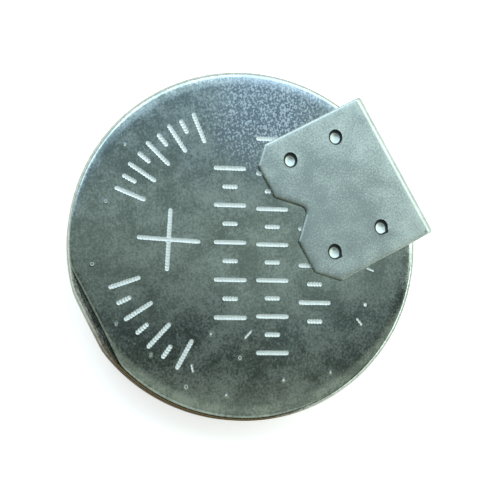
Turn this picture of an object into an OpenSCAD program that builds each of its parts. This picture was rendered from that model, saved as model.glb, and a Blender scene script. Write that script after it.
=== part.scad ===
// Lithium coin cell of the 24.5 mm by 3.0 mm size with a welded terminal tab.
// The origin is the centre of the negative cap's flat face. +Z runs up to the
// positive face, and +X runs towards the folded leg of the tab.

/* [Cell] */
// Diameter over the can's wall
cell_d = 24.5; // [21:0.1:28]
// Height from the cap's face to the can's face
cell_h = 3.0; // [2.6:0.05:4]

/* [Positive can] */
// Thickness of the can's sheet
can_sheet = 0.25; // [0.15:0.01:0.3]
// Outer radius between the can's face and its wall
can_edge_r = 0.35; // [0.32:0.01:0.5]
// Outer radius of the curl that closes the can over the gasket
curl_r = 0.6; // [0.45:0.01:0.75]
// Width of the flat lip inside the curl
lip_w = 0.5; // [0.2:0.05:0.8]
// Height of the lip above the cap's face
lip_recess = 0.2; // [0.1:0.01:0.3]

/* [Dent in the can's edge] */
// Direction of the dent, measured from the tab's leg
dent_turn = 179; // [90:1:270]
// Distance from the can's wall in to the crease on its face
dent_crease = 0.8; // [0.5:0.05:0.9]
// Slope of the dented facet below the can's face
dent_slope = 45; // [35:1:55]
// Depth by which the wall under the facet is flattened
dent_wall = 0.2; // [0.05:0.05:0.3]

/* [Negative cap] */
// Thickness of the cap's sheet
cap_sheet = 0.25; // [0.15:0.01:0.3]
// Width of the cap from its skirt in to the wall of its raised face
cap_shoulder_w = 1.6; // [1.3:0.05:2.2]
// Outer radius round the cap's face
cap_edge_r = 0.45; // [0.35:0.01:0.5]
// Radius in the corner between the raised face's wall and the shoulder
cap_step_r = 0.15; // [0.08:0.01:0.18]
// Outer radius between the shoulder and the skirt
skirt_edge_r = 0.5; // [0.35:0.01:0.6]

/* [Gasket] */
// Thickness between the can's wall and the cap's skirt
gasket_wall = 0.4; // [0.3:0.01:0.6]
// Thickness between the can's face and the edge of the skirt
gasket_foot = 0.45; // [0.35:0.01:0.7]
// Thickness inside the skirt
gasket_grip_w = 0.35; // [0.2:0.05:0.6]
// Height to which the gasket grips the skirt from inside
gasket_grip_h = 0.5; // [0.2:0.05:0.8]
// Thickness squeezed between the lip and the cap's shoulder
gasket_crimp = 0.25; // [0.15:0.01:0.4]
// Width of gasket that shows inside the lip
gasket_show = 0.45; // [0.2:0.05:0.55]
// Height by which the showing part bulges past the lip's inner face
gasket_bulge = 0.12; // [0.05:0.01:0.15]

/* [Contents] */
// Gap between the lithium disc and the wall of the cap's recess
lithium_margin = 1.0; // [0.5:0.05:2]
// Thickness of the separator
separator_t = 0.2; // [0.1:0.01:0.3]
// Gap between the separator and the gasket
separator_margin = 0.3; // [0.1:0.05:0.6]
// Gap between the collector ring and the gasket
ring_margin = 1.3; // [0.5:0.05:2]
// Thickness of the collector ring's sheet
ring_sheet = 0.2; // [0.1:0.01:0.3]
// Height of the collector ring
ring_h = 0.8; // [0.4:0.05:1.1]
// Width of the collector ring's flange, on the can's face
ring_flange = 1.2; // [0.5:0.05:3]

/* [Terminal tab] */
// Width of the tab
tab_w = 10.7; // [9.5:0.05:12]
// Length on top of the cell, from the free edge to the leg's outer face
tab_l = 9.2; // [8:0.05:11]
// Thickness of the tab's sheet
tab_sheet = 0.2; // [0.15:0.01:0.3]
// Height of the tab's plate above the can's face
tab_lift = 0.05; // [0.02:0.01:0.12]
// Inner radius of the bend
bend_r = 0.2; // [0.1:0.01:0.4]
// Gap between the can's wall and the leg
leg_gap = 0.14; // [0.08:0.01:0.4]
// Height of the leg's end above the cap's face
leg_end = 0.4; // [0.2:0.05:1.5]
// Corner cut off the free edge on the left, towards +Y
left_cut = 1.15; // [0.5:0.05:2]
// Corner cut off the free edge on the right, towards -Y
right_cut = 1.4; // [0.5:0.05:2]
// Width of the square-sided notch at the free edge
notch_w = 3.52; // [2.5:0.02:4.5]
// Radius in the bottom of the notch
notch_r = 0.5; // [0.2:0.05:0.8]
// Distance of the notch to the left of the tab's middle line
notch_side = 0.1; // [-0.3:0.05:0.3]

/* [Spot welds] */
// Diameter of each pressed pit
pit_d = 1.0; // [0.7:0.05:1.3]
// Depth of each pit
pit_depth = 0.15; // [0.12:0.01:0.2]
// Distance between the two pits of a pair
pit_pitch = 7.16; // [5.5:0.02:8]
// Distance from the free edge to the first pair
first_pair = 2.1; // [1.6:0.05:3.5]
// Angle by which the first pair is out of square
first_turn = -2.5; // [-5:0.5:5]
// Distance from the free edge to the second pair
second_pair = 5.9; // [4.6:0.05:6.6]
// Angle by which the second pair is out of square
second_turn = -1.5; // [-5:0.5:5]

/* [Hidden] */
$fn = 96;

cell_r = cell_d / 2;
face_in_z = cell_h - can_sheet;
lip_r = cell_r - curl_r - lip_w;
lip_top_z = lip_recess + can_sheet;

shoulder_z = lip_top_z + gasket_crimp;
skirt_top_z = face_in_z - gasket_foot;
skirt_r = cell_r - can_sheet - gasket_wall;
cap_face_r = skirt_r - cap_shoulder_w;

chamber_r = skirt_r - cap_sheet - gasket_grip_w;
recess_r = cap_face_r - cap_sheet;
recess_top_z = shoulder_z + cap_sheet;
pellet_z = recess_top_z + separator_t;
ring_r = chamber_r - ring_margin;
pellet_r = ring_r - ring_sheet;

leg_x = cell_r + leg_gap + tab_sheet;
free_x = leg_x - tab_l;
plate_z = cell_h + tab_lift;
tab_top_z = plate_z + tab_sheet;

// Rectangle of a section, from radius r0 to r1 and from height z0 to z1
module band(r0, r1, z0, z1) {
    translate([r0, z0]) square([r1 - r0, z1 - z0]);
}

// Section of a filled disc, with radii on its lower and upper outer corners
module disc_section(r, z0, z1, low_r, high_r) {
    mid_z = (z0 + z1) / 2;
    band(0, r - low_r, z0, mid_z);
    band(0, r - high_r, mid_z, z1);
    band(0, r, z0 + low_r, z1 - high_r);
    if (low_r > 0) translate([r - low_r, z0 + low_r]) circle(low_r);
    if (high_r > 0) translate([r - high_r, z1 - high_r]) circle(high_r);
}

// Section of the sheet's hollow corner under the cap's shoulder, grown outwards by grow
module step_corner(grow) {
    difference() {
        band(cap_face_r - grow, cap_face_r + cap_step_r, shoulder_z - cap_step_r, shoulder_z + grow);
        translate([cap_face_r + cap_step_r, shoulder_z - cap_step_r]) circle(cap_step_r + grow);
    }
}

// Section of everything within the can's outer skin, or within its inner one
module can_fill(sheet) {
    disc_section(cell_r - sheet, lip_recess + sheet, cell_h - sheet, curl_r - sheet, can_edge_r - sheet);
}

// Section of everything within the cap's lower skin, or above its upper one
module cap_fill(sheet, top_z) {
    disc_section(skirt_r - sheet, shoulder_z + sheet, top_z, skirt_edge_r - sheet, 0);
    disc_section(cap_face_r - sheet, sheet, top_z, cap_edge_r - sheet, 0);
    step_corner(sheet);
}

// What the dent takes away: all beyond a flattened wall and a sloping facet,
// both moved inwards by depth, so that the sheet keeps its thickness there
module dent(depth) {
    reach = cell_r;
    rotate([0, 0, dent_turn]) {
        translate([cell_r - dent_wall - depth, -reach, -cell_h])
            cube([reach, 2 * reach, 3 * cell_h]);
        translate([cell_r - dent_crease, 0, cell_h]) rotate([0, dent_slope, 0])
            translate([-reach, -reach, -depth]) cube([2 * reach, 2 * reach, reach]);
    }
}

// The can's inside, pushed in at the dent
module can_inside() {
    difference() {
        rotate_extrude() can_fill(can_sheet);
        dent(can_sheet);
    }
}

// Drawn cup of stainless steel, face up, curled in over the gasket at its mouth
module positive_can() {
    color([0.70, 0.75, 0.73]) difference() {
        rotate_extrude() can_fill(0);
        dent(0);
        can_inside();
        translate([0, 0, -cell_h]) cylinder(r = lip_r, h = cell_h + lip_top_z + gasket_crimp);
    }
}

// Stepped cup of stainless steel, face down, with its skirt up inside the gasket
module negative_cap() {
    color([0.76, 0.78, 0.78]) rotate_extrude() difference() {
        cap_fill(0, skirt_top_z);
        cap_fill(cap_sheet, cell_h);
    }
}

// Ring that fills the space between can and cap, and grips the skirt on both sides
module gasket() {
    seal_z = lip_top_z - gasket_bulge;
    color([0.88, 0.88, 0.82]) difference() {
        rotate_extrude() {
            difference() {
                union() {
                    intersection() {
                        can_fill(can_sheet);
                        band(lip_r - gasket_show, cell_r, 0, cell_h);
                    }
                    band(lip_r - gasket_show, lip_r, seal_z, shoulder_z);
                }
                cap_fill(0, skirt_top_z);
                band(0, chamber_r, skirt_top_z, cell_h);
            }
            band(chamber_r, chamber_r + gasket_grip_w, skirt_top_z - gasket_grip_h, face_in_z);
        }
        dent(can_sheet);
    }
}

// Anode, pressed into the recess of the cap and level with the shoulder
module lithium_disc() {
    color([0.72, 0.73, 0.76]) translate([0, 0, cap_sheet])
        cylinder(r = recess_r - lithium_margin, h = recess_top_z - cap_sheet);
}

// Felt disc that keeps the two electrodes apart
module separator() {
    color([0.96, 0.96, 0.93]) translate([0, 0, recess_top_z])
        cylinder(r = chamber_r - separator_margin, h = separator_t);
}

// Section of the collector ring: a wall round the pellet and a flange on the can's face
module ring_section() {
    band(pellet_r, ring_r, face_in_z - ring_h, face_in_z);
    band(ring_r - ring_flange, ring_r, face_in_z - ring_sheet, face_in_z);
}

// Pressed cathode, moulded into the collector ring
module cathode_pellet() {
    color([0.16, 0.16, 0.17]) rotate_extrude() difference() {
        band(0, pellet_r, pellet_z, face_in_z);
        ring_section();
    }
}

// Angled ring of stainless steel that holds the pellet's rim and carries its current
module collector_ring() {
    color([0.62, 0.64, 0.66]) rotate_extrude() ring_section();
}

// Outline of the tab from above, run on past the leg so that only the sheet ends there
module tab_outline() {
    half_w = tab_w / 2;
    end_x = leg_x + tab_sheet;
    notch_x = free_x + notch_w / 2 - notch_r * sqrt(2);
    round_x = notch_x + notch_r * cos(45);
    round_y = notch_r * sin(45);
    mouth_x = free_x - tab_sheet;
    mouth_y = notch_w / 2 + tab_sheet;
    difference() {
        polygon([[end_x, -half_w], [free_x + right_cut, -half_w], [free_x, right_cut - half_w],
                 [free_x, half_w - left_cut], [free_x + left_cut, half_w], [end_x, half_w]]);
        translate([0, notch_side]) {
            polygon([[mouth_x, -mouth_y], [round_x, -round_y], [round_x, round_y], [mouth_x, mouth_y]]);
            translate([notch_x, 0]) circle(notch_r);
        }
    }
}

// Sheet bent once across its full width, in section along the tab
module tab_section() {
    difference() {
        disc_section(leg_x, leg_end, tab_top_z, 0, bend_r + tab_sheet);
        disc_section(leg_x - tab_sheet, 0, plate_z, 0, bend_r);
    }
}

// Places its children at the bottom centre of each of the four pits
module at_pits() {
    for (pair = [[first_pair, first_turn], [second_pair, second_turn]], side = [-1, 1])
        translate([free_x + pair[0], 0, tab_top_z - pit_depth]) rotate([0, 0, pair[1]])
            translate([0, side * pit_pitch / 2, 0]) children();
}

// Folded sheet with four round pits, each pressed down onto the can and welded there
module terminal_tab() {
    pit_r = (pow(pit_d / 2, 2) + pow(pit_depth, 2)) / (2 * pit_depth);
    color([0.62, 0.68, 0.70]) difference() {
        union() {
            intersection() {
                rotate([90, 0, 0]) linear_extrude(tab_w + tab_sheet, center = true) tab_section();
                linear_extrude(2 * cell_h) tab_outline();
            }
            intersection() {
                at_pits() translate([0, 0, pit_r]) sphere(pit_r + tab_sheet);
                translate([free_x, -tab_w / 2, cell_h]) cube([tab_l, tab_w, tab_lift + tab_sheet / 2]);
            }
        }
        at_pits() translate([0, 0, pit_r]) sphere(pit_r);
    }
}

positive_can();
negative_cap();
gasket();
lithium_disc();
separator();
cathode_pellet();
collector_ring();
terminal_tab();
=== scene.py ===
# %% [markdown]
# # A lithium coin cell with a welded terminal tab
# The construction of the cell is finished elsewhere and arrives as a fixed frame: eight solids at
# their real size. This script gives the visible ones their looks. It replaces the can, the tab, the
# gasket and the cap by finer meshes in the same places, gives every piece a procedural material, and
# sets up a camera, a pale floor and soft light.

# %% Load the frame
import math

import bpy
import numpy as np
from mathutils import Matrix, Vector
from mathutils.geometry import delaunay_2d_cdt


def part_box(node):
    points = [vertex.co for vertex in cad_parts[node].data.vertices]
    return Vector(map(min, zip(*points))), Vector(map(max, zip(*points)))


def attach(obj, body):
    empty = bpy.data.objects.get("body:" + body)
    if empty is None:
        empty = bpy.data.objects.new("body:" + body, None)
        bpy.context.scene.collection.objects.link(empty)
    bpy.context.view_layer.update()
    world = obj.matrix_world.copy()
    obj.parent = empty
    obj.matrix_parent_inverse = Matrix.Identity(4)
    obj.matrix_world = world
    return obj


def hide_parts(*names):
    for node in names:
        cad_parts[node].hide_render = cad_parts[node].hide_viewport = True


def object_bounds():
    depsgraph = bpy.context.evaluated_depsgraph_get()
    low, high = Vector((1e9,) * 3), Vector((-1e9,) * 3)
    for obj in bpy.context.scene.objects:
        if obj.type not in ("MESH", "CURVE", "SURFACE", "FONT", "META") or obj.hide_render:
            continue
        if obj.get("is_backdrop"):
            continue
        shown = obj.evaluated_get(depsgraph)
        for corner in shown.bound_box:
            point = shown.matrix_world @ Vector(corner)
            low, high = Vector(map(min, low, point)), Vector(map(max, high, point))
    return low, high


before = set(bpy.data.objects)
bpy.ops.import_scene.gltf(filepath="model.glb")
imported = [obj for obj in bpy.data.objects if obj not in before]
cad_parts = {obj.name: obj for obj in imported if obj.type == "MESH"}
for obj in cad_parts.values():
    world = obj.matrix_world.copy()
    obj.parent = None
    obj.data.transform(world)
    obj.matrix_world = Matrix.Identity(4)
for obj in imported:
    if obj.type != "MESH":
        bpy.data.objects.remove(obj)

cad_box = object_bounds()
print("nodes:", ", ".join(sorted(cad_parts)))

# %% [markdown]
# Everything below is worked out in millimetres and turned to metres when a mesh is made. The overall
# sizes are read from the frame, so the new meshes land exactly on the solids. Sizes that a box can't
# tell, such as a sheet's thickness, are named here.

# %% Sizes in millimetres
MM = 0.001


def box_mm(name):
    """Lowest and highest corner of a solid, in millimetres."""
    low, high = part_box(name)
    return np.array(low) / MM, np.array(high) / MM


can_low, can_high = box_mm("positive_can")
cap_low, cap_high = box_mm("negative_cap")
tab_low, tab_high = box_mm("terminal_tab")
CELL_R = can_high[1]
FACE_Z = can_high[2]
LIP_Z = can_low[2]
SKIRT_R = cap_high[0]
SKIRT_TOP = cap_high[2]

CAN_SHEET = 0.25
CAN_EDGE_R = 0.35
CURL_R = 0.6
LIP_R = CELL_R - CURL_R - 0.5
CAP_SHEET = 0.25
CAP_EDGE_R = 0.45
CAP_STEP_R = 0.15
SKIRT_EDGE_R = 0.5
CAP_FACE_R = SKIRT_R - 1.6
GASKET_CRIMP = 0.25
SHOULDER_Z = LIP_Z + CAN_SHEET + GASKET_CRIMP
print("cell %.2f mm across, %.2f mm high" % (2 * CELL_R, FACE_Z))

# %% [markdown]
# ## The camera
# The photograph looks almost straight down, from about 80 mm away, with the camera leaning a little
# towards the dented side. Such a short distance makes the near edge of the cell larger than the far
# one, so the distance matters as much as the angle. A camera is a place and three directions: back,
# away from what it sees, and right and up across the picture.

# %% Camera
VIEW_DISTANCE = 80.0
VIEW_TILT = math.radians(12.98)
VIEW_AZIMUTH = math.radians(190.53)
VIEW_ROLL = math.radians(-28.05)
FRAME_W, FRAME_H = 500, 499
FOCAL_PX = 1152.5
FACE_CENTRE_PX = (245.7, 242.4)
SENSOR_MM = 36.0


def view_axes():
    """Right, up and back of the camera: it leans from the vertical, then rolls about its own axis."""
    back = Vector((math.sin(VIEW_TILT) * math.cos(VIEW_AZIMUTH),
                   math.sin(VIEW_TILT) * math.sin(VIEW_AZIMUTH), math.cos(VIEW_TILT)))
    level = Vector((0, 1, 0)).cross(back).normalized()
    upright = back.cross(level)
    right = math.cos(VIEW_ROLL) * level + math.sin(VIEW_ROLL) * upright
    return right, back.cross(right), back


right, up, back = view_axes()
camera_data = bpy.data.cameras.new("camera")
camera_data.sensor_width = SENSOR_MM
camera_data.lens = FOCAL_PX / FRAME_W * SENSOR_MM
camera_data.shift_x = (FRAME_W / 2 - FACE_CENTRE_PX[0]) / FRAME_W
camera_data.shift_y = (FACE_CENTRE_PX[1] - FRAME_H / 2) / FRAME_W
camera_data.clip_start = 0.005
camera = bpy.data.objects.new("camera", camera_data)
place = Vector((0, 0, FACE_Z)) + VIEW_DISTANCE * back
camera.matrix_world = Matrix.Translation(place * MM) @ Matrix((right, up, back)).transposed().to_4x4()
bpy.context.collection.objects.link(camera)
bpy.context.scene.camera = camera
print("camera at", [round(v, 4) for v in camera.location], "lens %.1f mm" % camera_data.lens)

# %% [markdown]
# ## Mesh helpers
# Most of a coin cell is turned or pressed sheet metal, so two helpers make nearly all of it. One
# collects blocks of points and the quads between rows of them. The other turns a section round the
# axis. A section is a list of corners, and each corner may be an arc.

# %% Mesh helpers
class Skin:
    """Points and faces of one piece, gathered block by block, in millimetres."""

    def __init__(self):
        self.blocks, self.faces, self.slots, self.count = [], [], [], 0

    def add(self, points):
        """Adds an array of points with three columns and returns the number of the first one."""
        first = self.count
        self.blocks.append(np.asarray(points, float).reshape(-1, 3))
        self.count += len(self.blocks[-1])
        return first

    def bridge(self, row_a, row_b, slot=0):
        """Quads between two closed rows of point numbers of equal length."""
        self.put(np.stack([row_a, np.roll(row_a, -1), np.roll(row_b, -1), row_b], axis=1), slot)

    def put(self, faces, slot=0):
        """Adds faces given as rows of point numbers, with one material slot or a slot for each."""
        self.faces += np.asarray(faces).tolist()
        self.slots += np.broadcast_to(slot, len(faces)).tolist()

    def make(self, name, node, sharp=40):
        """Turns the skin into an object that stands for a solid of the frame and rides with it."""
        mesh = bpy.data.meshes.new(name)
        mesh.from_pydata((np.vstack(self.blocks) * MM).tolist(), [], self.faces)
        mesh.polygons.foreach_set("material_index", self.slots)
        mesh.shade_smooth()
        mesh.set_sharp_from_angle(angle=math.radians(sharp))
        piece = bpy.data.objects.new(name, mesh)
        bpy.context.collection.objects.link(piece)
        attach(piece, "root")
        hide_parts(node)
        print(name, "has", len(mesh.vertices), "points and", len(mesh.polygons), "faces")
        return piece


print("a skin's points are in millimetres, and its mesh is scaled by", MM)

# %% Sections and turned rows
def arc(centre, radius, start, end, steps):
    """Points of an arc in a section: the centre plus radius times the cosine and sine of the angle."""
    a = np.radians(np.linspace(start, end, steps + 1))
    return np.stack([centre[0] + radius * np.cos(a), centre[1] + radius * np.sin(a)], axis=1)


def line(start, end, steps):
    """Evenly spaced points of a straight stretch, without the last one."""
    t = np.linspace(0, 1, steps, endpoint=False)[:, None]
    return (1 - t) * np.array(start, float) + t * np.array(end, float)


def turn(section, count):
    """Turns a section of radius and height round the axis: x and y are the radius times the cosine
    and sine of the turn."""
    a = np.linspace(0, 2 * np.pi, count, endpoint=False)
    r, z = section[:, :1], section[:, 1:]
    return np.stack([r * np.cos(a), r * np.sin(a), z + 0 * a], axis=2)


def turned_rows(skin, grid):
    """Adds a turned grid to a skin and returns its rows of point numbers, one for each section point."""
    first = skin.add(grid)
    return first + np.arange(grid.shape[0] * grid.shape[1]).reshape(grid.shape[:2])


print("a section of 3 points turned in 8 steps has", turn(line((1, 0), (2, 0), 3), 8).shape[:2], "points")

# %% [markdown]
# ## The dent
# One side of the real cell has been squeezed, which left a flat facet across the edge of the face and
# a slightly flattened wall below it. Both are planes. A point outside a plane is pushed back onto it,
# and the push starts softly, so that the crease is a small radius and not a knife edge. The inside of
# the sheet is pushed by the same planes, moved in by the sheet's thickness.

# %% Dent
DENT_TURN = math.radians(179)
DENT_CREASE = 0.8
DENT_SLOPE = math.radians(45)
DENT_WALL = 0.2
CREASE_SOFTNESS = 0.035
PUSH_REACH = 6 * CREASE_SOFTNESS
PUSH_AT_REACH = CREASE_SOFTNESS / 26


def press_dent(points, depth):
    """Pushes points back behind the dent's two planes, both moved in by depth. The push along the
    plane's normal is half of the overshoot plus the root of its square and the softness squared. It is
    cut off at its reach before the plane, where little of it is left, and that little is taken off."""
    outward = np.array([math.cos(DENT_TURN), math.sin(DENT_TURN), 0])
    tilted = math.sin(DENT_SLOPE) * outward + math.cos(DENT_SLOPE) * np.array([0, 0, 1])
    crease = (CELL_R - DENT_CREASE) * outward + np.array([0, 0, FACE_Z])
    points = np.array(points, float)
    for normal, limit in ((outward, CELL_R - DENT_WALL), (tilted, crease @ tilted)):
        over = points @ normal - (limit - depth)
        push = 0.5 * (over + np.sqrt(over ** 2 + CREASE_SOFTNESS ** 2))
        push = np.where(over < -PUSH_REACH, 0, push - PUSH_AT_REACH)
        points -= np.clip(push, 0, None)[..., None] * normal
    return points


print("the dent's crease lies %.2f mm from the axis" % (CELL_R - DENT_CREASE))

# %% [markdown]
# ## Marks on the positive face
# The face carries marks that were peened in with a fine point, stroke by stroke. Each is a groove
# with a small raised rim and a row of beads in its floor. A polarity sign and rows of plain ticks are
# used here. Every groove is a set of closed outlines round its stroke, one for each distance from the
# stroke's middle line, and the height follows from the distance.

# %% Outlines of the strokes
BEAD_PITCH = 0.21
SCALLOP = 0.17
RIM_FROM = 0.19


def scalloped(distance, along):
    """The distance, made a sixth wider and narrower in step with the beads, but not at the rim."""
    depth = SCALLOP if distance < RIM_FROM else 0
    return distance * (1 + depth * np.cos(2 * np.pi * along / BEAD_PITCH))


def tick_outline(distance, half, steps=41, cap=6):
    """Outline at a distance round a straight stroke: one side, one round end, and both again turned
    by half a turn. Also gives each point's place along the stroke."""
    s = np.linspace(half, -half, steps)
    a = np.radians(np.linspace(90, 270, cap + 2))[1:-1]
    side = np.stack([s, scalloped(distance, s)], axis=1)
    end = np.stack([-half + distance * np.cos(a), distance * np.sin(a)], axis=1)
    part = np.vstack([side, end])
    along = np.append(s, np.full(cap, -half))
    return np.vstack([part, -part]), np.append(along, -along)


def cross_outline(distance, half, steps=44, cap=6):
    """Outline at a distance round two crossed strokes. A quarter runs in along one arm, out along the
    next and round its end, and is repeated with quarter turns."""
    s = np.linspace(half, distance, steps)
    a = np.radians(np.linspace(0, 180, cap + 2))[1:-1]
    inward = np.stack([s, scalloped(distance, s)], axis=1)
    outward = inward[::-1, ::-1][1:]
    end = np.stack([distance * np.cos(a), half + distance * np.sin(a)], axis=1)
    part = np.vstack([inward, outward, end])
    along = np.concatenate([s, s[::-1][1:], np.full(cap, half)])
    quarters = [part]
    for _ in range(3):
        quarters.append(np.stack([-quarters[-1][:, 1], quarters[-1][:, 0]], axis=1))
    return np.vstack(quarters), np.tile(along, 4)


print("a tick's outline has", len(tick_outline(0.1, 1)[0]), "points")

# %% Places of the marks
TICK_HALF, SHORT_HALF = 1.0, 0.4
ARC_R = 8.65


def on_arc(azimuths, radius, half):
    """Ticks that point at the axis, one at each azimuth."""
    return [(radius * math.cos(math.radians(a)), radius * math.sin(math.radians(a)), a, half)
            for a in azimuths]


def on_line(start, end, count, turn_deg, half, short):
    """Ticks side by side from start to end, with every second one short."""
    places = np.linspace(start, end, count)
    return [(x, y, turn_deg, half if i % 2 == 0 else short) for i, (x, y) in enumerate(places)]


LINE_TURN = -28.5
ticks = on_arc(np.linspace(84, 130, 5), ARC_R, TICK_HALF)
ticks += on_arc(np.linspace(90, 124, 4), ARC_R + 0.5, SHORT_HALF)
ticks += on_arc(np.linspace(171, 213, 4), ARC_R + 0.2, TICK_HALF)
ticks += on_arc(np.linspace(178, 206, 3), ARC_R + 0.7, SHORT_HALF)
ticks += on_line((1.5, 5.1), (-3.45, -4.1), 9, LINE_TURN, TICK_HALF, SHORT_HALF)
ticks += on_line((5.2, 5.6), (-2.0, -7.6), 13, LINE_TURN, TICK_HALF, SHORT_HALF)
ticks += on_line((4.8, -1.4), (1.7, -7.1), 6, LINE_TURN, TICK_HALF, SHORT_HALF)
PLUS = (-4.68, 2.62, -31.3, 2.05)
PLUS_STROKES = [PLUS, (PLUS[0], PLUS[1], PLUS[2] + 90, PLUS[3])]
print(len(ticks), "ticks and a plus sign")

# %% [markdown]
# A groove's profile is a list of distances from the stroke's middle line, each with a height over the
# face. The rows of the outlines are bridged with quads, and what lies flat between the marks, or in the
# floor of a groove, is filled with triangles.

# %% Grooves
GROOVE = [(0.2, 0.0), (0.165, 0.0), (0.145, 0.003), (0.125, 0.001), (0.095, -0.011), (0.055, -0.019),
          (0.02, -0.021)]
STRUCK_FROM = 2
BEAD_WAVE = 0.4


def sink_groove(skin, outline, x, y, turn_deg, half, profile=GROOVE):
    """Adds the rings of one groove and returns the outermost and innermost rows of point numbers. The
    depth rises and falls along the stroke with the cosine of the beads' pitch."""
    c, s = math.cos(math.radians(turn_deg)), math.sin(math.radians(turn_deg))
    rows = []
    for distance, height in profile:
        flat, along = outline(distance, half)
        bead = 1 - BEAD_WAVE + BEAD_WAVE * np.cos(2 * np.pi * along / BEAD_PITCH)
        z = FACE_Z + height * (bead if height < 0 else 1)
        px = x + c * flat[:, 0] - s * flat[:, 1]
        py = y + s * flat[:, 0] + c * flat[:, 1]
        first = skin.add(np.stack([px, py, z + 0 * px], axis=1))
        rows.append(first + np.arange(len(px)))
    for i, (upper, lower) in enumerate(zip(rows[:-1], rows[1:])):
        skin.bridge(upper, lower, slot=1 if i >= STRUCK_FROM else 0)
    return rows[0], rows[-1]


print("a groove is %.2f mm wide and %.3f mm deep" % (2 * GROOVE[0][0], -GROOVE[-1][1]))

# %% [markdown]
# The fill has to end exactly at the outlines, or stray slivers stay in a mark. So the triangles are
# sorted into regions, with the outlines as walls between them, and a whole region is kept or dropped.

# %% Fill between outlines
def inside(points, outline, margin=0.0):
    """True for points inside an outline: a ray to the right crosses it an odd number of times. Points
    within a margin of the outline's own points don't count."""
    a, b = outline, np.roll(outline, -1, axis=0)
    x, y = points[:, 0, None], points[:, 1, None]
    spans = (a[None, :, 1] > y) != (b[None, :, 1] > y)
    slope = (b[:, 0] - a[:, 0]) / np.where(b[:, 1] == a[:, 1], 1e-9, b[:, 1] - a[:, 1])
    crossing = a[None, :, 0] + (y - a[None, :, 1]) * slope[None]
    odd = (spans & (x < crossing)).sum(axis=1) % 2 == 1
    near = np.hypot(x - a[None, :, 0], y - a[None, :, 1]).min(axis=1) < margin
    return odd & ~near


def regions(corners, walls):
    """A number for each triangle, the same for all of a region. Each triangle takes the lowest number
    of itself and its neighbours, except across a wall, again and again until nothing changes."""
    edges = np.sort(np.vstack([corners[:, [0, 1]], corners[:, [1, 2]], corners[:, [2, 0]]]), axis=1)
    many = corners.max() + 1
    codes = edges[:, 0] * many + edges[:, 1]
    order = np.argsort(codes, kind="stable")
    codes, owner = codes[order], (order % len(corners))
    wall_codes = np.sort(walls, axis=1) @ np.array([many, 1])
    joined = (codes[1:] == codes[:-1]) & ~np.isin(codes[1:], wall_codes)
    left, right = owner[:-1][joined], owner[1:][joined]
    region, lower = None, np.arange(len(corners))
    while region is None or (lower != region).any():
        region = lower.copy()
        np.minimum.at(lower, left, region[right])
        np.minimum.at(lower, right, region[left])
        lower = lower[lower]
    return region


def fill(skin, loops, extra=None, slot=lambda middle: 0, flip=False):
    """Fills the flat space between closed loops of point numbers with triangles. A region is kept if an
    odd number of loops lie round the middle of its largest triangle. Extra points inside give the fill
    its own detail, and the middle of a triangle tells its material slot."""
    points = np.vstack(skin.blocks)
    numbers = np.concatenate(loops)
    starts = np.cumsum([0] + [len(loop) for loop in loops[:-1]])
    rings = [start + np.arange(len(loop)) for start, loop in zip(starts, loops)]
    walls = np.vstack([np.stack([ring, np.roll(ring, -1)], axis=1) for ring in rings])
    flat = points[numbers, :2]
    if extra is not None:
        numbers = np.append(numbers, skin.add(extra) + np.arange(len(extra)))
        flat = np.vstack([flat, extra[:, :2]])
    made, _, faces, origins, _, _ = delaunay_2d_cdt(
        [Vector(p) for p in flat], walls.tolist(), [], 0, 1e-6)
    corners = np.array([o[0] for o in origins])[np.array(faces)]
    middle = flat[corners].mean(axis=1)
    side, other = flat[corners[:, 1]] - flat[corners[:, 0]], flat[corners[:, 2]] - flat[corners[:, 0]]
    area = np.abs(side[:, 0] * other[:, 1] - side[:, 1] * other[:, 0])
    region = regions(corners, walls)
    order = np.lexsort((-area, region))
    names, first = np.unique(region[order], return_index=True)
    largest = middle[order[first]]
    around = sum(inside(largest, points[loop, :2]).astype(int) for loop in loops)
    kept = np.isin(region, names[around % 2 == 1])
    corners = numbers[corners[kept]]
    skin.put(corners[:, ::-1] if flip else corners, slot(middle[kept]))


def from_strokes(points, strokes):
    """Distance from each point to the nearest of the strokes, as straight segments."""
    nearest = np.full(len(points), 1e9)
    for x, y, turn_deg, half in strokes:
        c, s = math.cos(math.radians(turn_deg)), math.sin(math.radians(turn_deg))
        u = (points[:, 0] - x) * c + (points[:, 1] - y) * s
        v = (points[:, 1] - y) * c - (points[:, 0] - x) * s
        nearest = np.minimum(nearest, np.hypot(np.clip(np.abs(u) - half, 0, None), v))
    return nearest


print("the axis is %.2f mm from the nearest mark" % from_strokes(np.zeros((1, 2)), ticks + PLUS_STROKES)[0])

# %% [markdown]
# Round prints, such as pin-head spots on the face and the weld pits on the tab, are rings about a
# middle point. A print can have a drawn-out tail on one side, be deeper on one side, or be longer one
# way. Its outermost ring stays round and level, so that it meets the flat sheet.

# %% Round prints
PRINT_AROUND = 60
TAIL_TURN = math.radians(-63)
TAIL_WIDTH = 0.24
TAIL_FULL_R = 0.5
LEAN_TURN = math.radians(40)
LEAN_SLIDE = 0.45
LONG_TURN = math.radians(62)


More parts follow.
